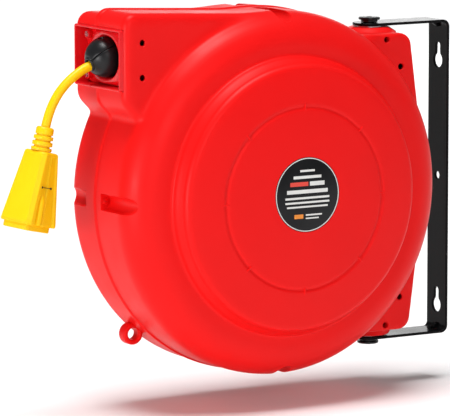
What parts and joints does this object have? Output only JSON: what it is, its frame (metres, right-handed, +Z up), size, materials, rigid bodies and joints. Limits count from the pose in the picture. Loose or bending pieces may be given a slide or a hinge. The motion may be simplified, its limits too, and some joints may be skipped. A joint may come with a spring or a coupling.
{
  "type": "retractable extension cord reel",
  "caption": "Spring-driven retractable extension cord reel: round two-shell case that swivels in a wall bracket, with a ball-stopped cord ending in a multi-outlet connector.",
  "frame": {"origin": "centre of the wall plate's back face, on the wall", "axes": "+X points into the wall, +Z is up, the drum's axis lies along Y and its front faces -Y"},
  "size_m": [0.5409, 0.1851, 0.3895],
  "materials": {
    "bracket_black": "gloss black powder coat",
    "case_red": "satin gloss moulded",
    "black_steel": "black zinc",
    "zinc_steel": "zinc plated",
    "label_black": "printed label",
    "spool_black": "moulded",
    "bush_bronze": "sintered bronze",
    "spring_steel": "blued spring steel",
    "cord_yellow": "smooth cord jacket",
    "carrier_cream": "moulded phenolic",
    "ring_brass": "turned",
    "carbon": "carbon graphite",
    "ball_black": "satin moulded",
    "connector_yellow": "moulded rubber plastic"
  },
  "bodies": {
    "bracket": {"wall_bracket": "bracket_black"},
    "case": {"front_shell": "case_red", "rear_shell": "case_red", "pivot_bolts": "black_steel", "pivot_bushings": "black_steel", "pivot_washers": "zinc_steel", "pivot_nuts": "zinc_steel", "label_disc": "label_black", "mouth_frame": "case_red", "mouth_funnel": "case_red", "mouth_screws": "zinc_steel", "rim_screws": "zinc_steel", "shell_screws": "zinc_steel", "main_shaft": "zinc_steel", "shaft_screw": "zinc_steel", "shaft_clips": "zinc_steel", "spring_arbor": "zinc_steel", "brush_holder": "spool_black", "brushes": "carbon", "brush_springs": "zinc_steel", "pawl_pin": "zinc_steel", "pawl_spring": "zinc_steel", "inlet_gland": "spool_black", "gland_nut": "spool_black"},
    "spool": {"spool_hub": "spool_black", "front_flange": "spool_black", "rear_flange": "spool_black", "flange_screws": "zinc_steel", "spool_bushes": "bush_bronze", "ratchet_ring": "zinc_steel", "spring_can": "zinc_steel", "can_cover": "zinc_steel", "can_screws": "zinc_steel", "mainspring": "spring_steel", "cord_winding": "cord_yellow", "cord_anchor": "spool_black", "slip_carrier": "carrier_cream", "slip_rings": "ring_brass"},
    "cord_end": {"lead_in_cord": "cord_yellow", "ball_upper": "ball_black", "ball_lower": "ball_black", "ball_screws": "zinc_steel", "free_cord": "cord_yellow", "strain_relief": "cord_yellow", "connector_body": "connector_yellow", "connector_cap": "connector_yellow", "contacts": "ring_brass"},
    "pawl": {"pawl": "zinc_steel"}
  },
  "joints": [
    {"name": "case_swivel", "type": "hinge", "parent": "bracket", "child": "case", "pos_m": [-0.092, 0, 0], "axis": [0, 0, 1], "range_deg": [-90, 65]},
    {"name": "cord_pull", "type": "slide", "parent": "case", "child": "cord_end", "axis": [-1, 0, 0], "range_m": [0, 0.07802], "stiffness_N_per_m": 150, "springref_m": -0.1},
    {"name": "spool_spin", "type": "hinge", "parent": "case", "child": "spool", "pos_m": [-0.241, 0, 0.003], "axis": [0, 1, 0], "range_deg": [-31, 31]},
    {"name": "pawl_swing", "type": "hinge", "parent": "case", "child": "pawl", "pos_m": [-0.241, 0, -0.137], "axis": [0, -1, 0], "range_deg": [0, 15]}
  ],
  "couplings": [
    {"joint": "spool_spin", "follows": "cord_pull", "rad_per_m": -6.7114}
  ]
}
